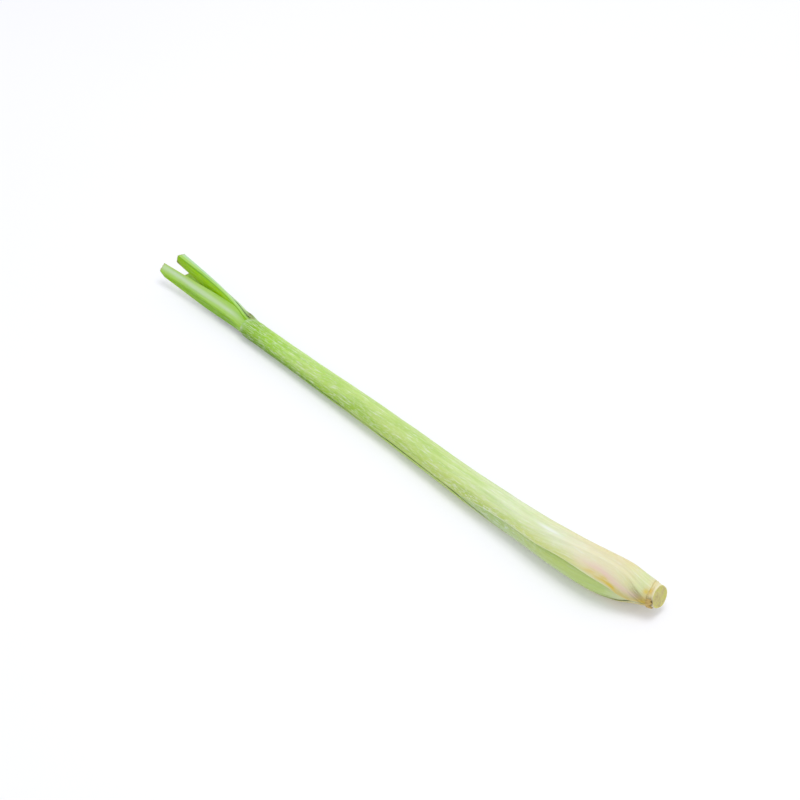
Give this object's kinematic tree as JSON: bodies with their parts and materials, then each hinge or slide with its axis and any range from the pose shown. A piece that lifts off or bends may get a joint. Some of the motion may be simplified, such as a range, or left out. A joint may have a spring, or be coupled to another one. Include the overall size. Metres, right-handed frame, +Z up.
{
  "type": "lemongrass stalk",
  "caption": "Trimmed lemongrass stalk lying on its side: pale bulbous root end, long wrapped green sheath and a short fan of cut, keeled leaf blades.",
  "frame": {"origin": "middle of the footprint, on the surface that the stalk lies on", "axes": "+X along the stalk towards the root end, -X towards the cut leaf blades, +Z up; the stalk's +Y side is the one its slight crook turns towards at the root end"},
  "size_m": [0.3192, 0.0306, 0.0188],
  "materials": {
    "stem_flesh": "moist cut plant fibre, pale straw",
    "dry_scale": "dry, torn and papery, ochre brown",
    "outer_sheath": "smooth waxy sheath, cream at the bulb to light green, fine lengthwise veins",
    "green_leaf": "satin grass blade with lengthwise veins",
    "young_leaf": "satin young blade, bright yellow-green"
  },
  "bodies": {
    "root": {"stem_base": "stem_flesh", "old_sheath_scale": "dry_scale", "outer_leaf": "outer_sheath", "second_leaf": "green_leaf", "third_leaf": "green_leaf", "inner_leaf": "young_leaf"}
  },
  "joints": []
}
